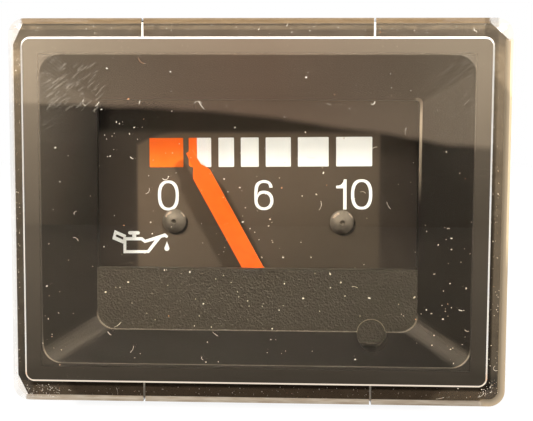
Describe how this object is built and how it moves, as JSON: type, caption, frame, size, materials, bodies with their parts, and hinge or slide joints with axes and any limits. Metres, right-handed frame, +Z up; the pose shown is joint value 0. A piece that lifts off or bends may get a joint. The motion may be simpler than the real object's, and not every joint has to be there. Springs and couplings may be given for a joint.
{
  "type": "oil pressure gauge",
  "caption": "Rectangular panel gauge with a clear clip-on cover, a black funnel mask, a riveted dial, an orange needle and a moulded case with blade terminals, studs and a push-in lamp.",
  "frame": {"origin": "on the axis of the lens box, in the plane of the flange's front face, where it meets the panel", "axes": "+Z up and +X right as the dial is read, +Y to the rear along the lens axis"},
  "size_m": [0.0742, 0.0563, 0.0575],
  "materials": {
    "clear_plastic": "clear acrylic, polished, lightly scratched",
    "seal_rubber": "matt",
    "grained_plastic": "fine leather grain",
    "dial_paint": "matt black paint with printed marks",
    "rivet_paint": "gloss black paint",
    "zinc_steel": "zinc plated",
    "nylon": "natural nylon",
    "copper_wire": "enamelled copper windings",
    "brass": "tarnished brass",
    "ferrite": "sintered magnet",
    "case_plastic": "black moulded plastic, satin",
    "resistor_paint": "lacquered ceramic",
    "needle_paint": "matt orange paint on thin aluminium",
    "spindle_steel": "ground",
    "lamp_glass": "clear"
  },
  "bodies": {
    "gauge": {"lens_cover": "clear_plastic", "dust_seal": "seal_rubber", "front_mask": "grained_plastic", "dial_plate": "dial_paint", "dial_rivets": "rivet_paint", "movement_plate": "zinc_steel", "bobbin_front": "nylon", "bobbin_rear": "nylon", "inner_coil": "copper_wire", "outer_coil": "copper_wire", "front_bush": "brass", "rear_bush": "brass", "return_magnet": "ferrite", "shield_can": "zinc_steel", "can_screws": "zinc_steel", "fixing_studs": "zinc_steel", "stud_washers": "zinc_steel", "stud_nuts": "zinc_steel", "rear_case": "case_plastic", "supply_terminal": "brass", "sender_terminal": "brass", "terminal_rivets": "brass", "series_resistor": "resistor_paint"},
    "pointer": {"needle": "needle_paint", "needle_hub": "brass", "balance_weight": "brass", "spindle": "spindle_steel", "magnet_rotor": "ferrite"},
    "lamp": {"lamp_holder": "nylon", "lamp_glass": "lamp_glass", "lamp_contacts": "brass"}
  },
  "joints": [
    {"name": "needle_spin", "type": "hinge", "parent": "gauge", "child": "pointer", "pos_m": [0, 0.01, -0.01005], "axis": [0, 1, 0], "range_deg": [-11, 69], "stiffness_Nm_per_rad": 0.00002},
    {"name": "lamp_pull", "type": "slide", "parent": "gauge", "child": "lamp", "axis": [0, 1, 0], "range_m": [0, 0.024]}
  ]
}
